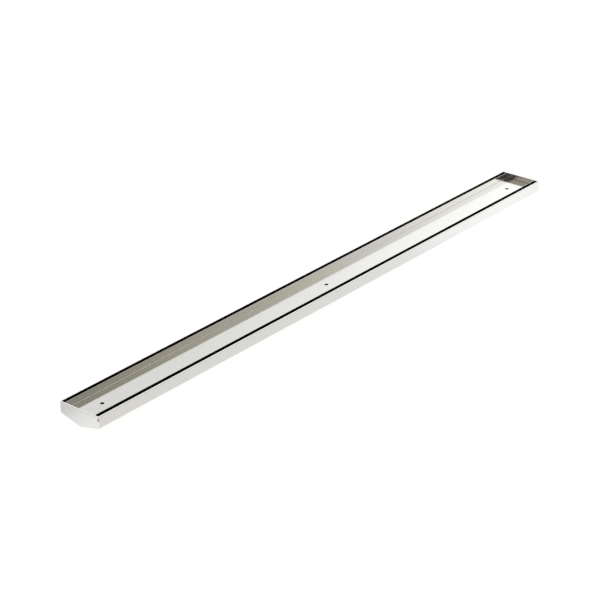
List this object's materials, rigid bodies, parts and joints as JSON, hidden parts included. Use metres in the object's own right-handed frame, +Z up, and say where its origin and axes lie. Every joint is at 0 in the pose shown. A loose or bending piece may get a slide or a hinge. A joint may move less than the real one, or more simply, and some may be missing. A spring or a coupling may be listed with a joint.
{
  "type": "channel drain",
  "caption": "Long narrow floor drain: a folded V-bottom steel channel with welded end plates and a loose tile-insert tray, with an open water slot along each long side.",
  "frame": {"origin": "centre of the outlet spigot's lower mouth, under the middle of the drain", "axes": "+X along the drain, +Y across it, +Z up to the rim that meets the floor tiles"},
  "size_m": [1.2, 0.084, 0.035],
  "materials": {
    "channel_steel": "satin polished stainless sheet",
    "end_plate_steel": "satin polished stainless sheet",
    "tray_steel": "bright glossy stainless sheet",
    "hidden_steel": "plain mill finish stainless"
  },
  "bodies": {
    "root": {"channel_body": "channel_steel", "end_plate_left": "end_plate_steel", "end_plate_right": "end_plate_steel", "outlet_spigot": "hidden_steel", "tile_tray": "tray_steel", "tray_support_1": "hidden_steel", "tray_support_2": "hidden_steel", "tray_support_3": "hidden_steel", "tray_support_4": "hidden_steel"}
  },
  "joints": []
}
